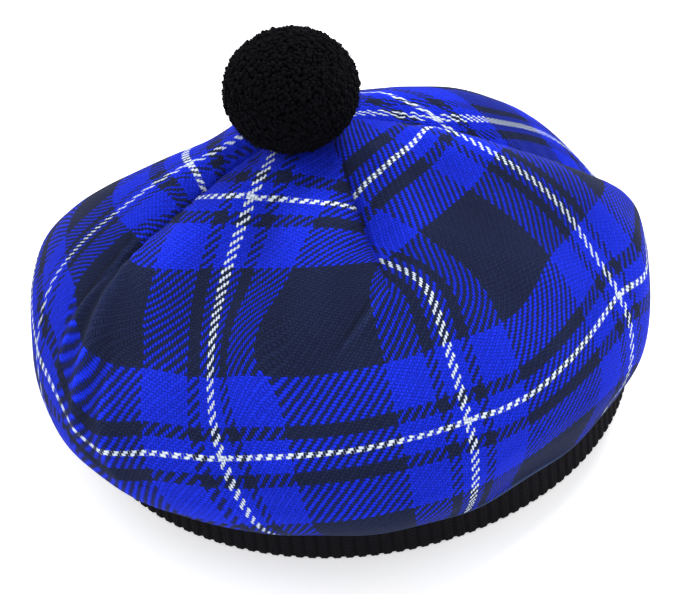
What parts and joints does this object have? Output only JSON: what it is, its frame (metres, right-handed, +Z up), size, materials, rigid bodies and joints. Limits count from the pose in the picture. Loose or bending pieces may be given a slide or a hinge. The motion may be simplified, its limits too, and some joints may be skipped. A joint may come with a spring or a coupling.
{
  "type": "tam o' shanter",
  "caption": "Soft quartered wool cap in tartan with a puffed crown, a rib-knit headband and a cut-yarn pompom on top.",
  "frame": {"origin": "centre of the bounding box at the floor, under the headband's lower edge", "axes": "+Z up through the crown, -Y towards the front of the hat, +X to the wearer's left as the hat faces -Y"},
  "size_m": [0.215, 0.2152, 0.13],
  "materials": {
    "tartan_wool": "brushed wool twill in royal blue, navy and white tartan",
    "rib_knit": "black rib knit, matt",
    "cut_yarn": "black cut wool yarn, dense and matt"
  },
  "bodies": {
    "root": {"crown": "tartan_wool", "headband": "rib_knit", "pompom": "cut_yarn"}
  },
  "joints": []
}
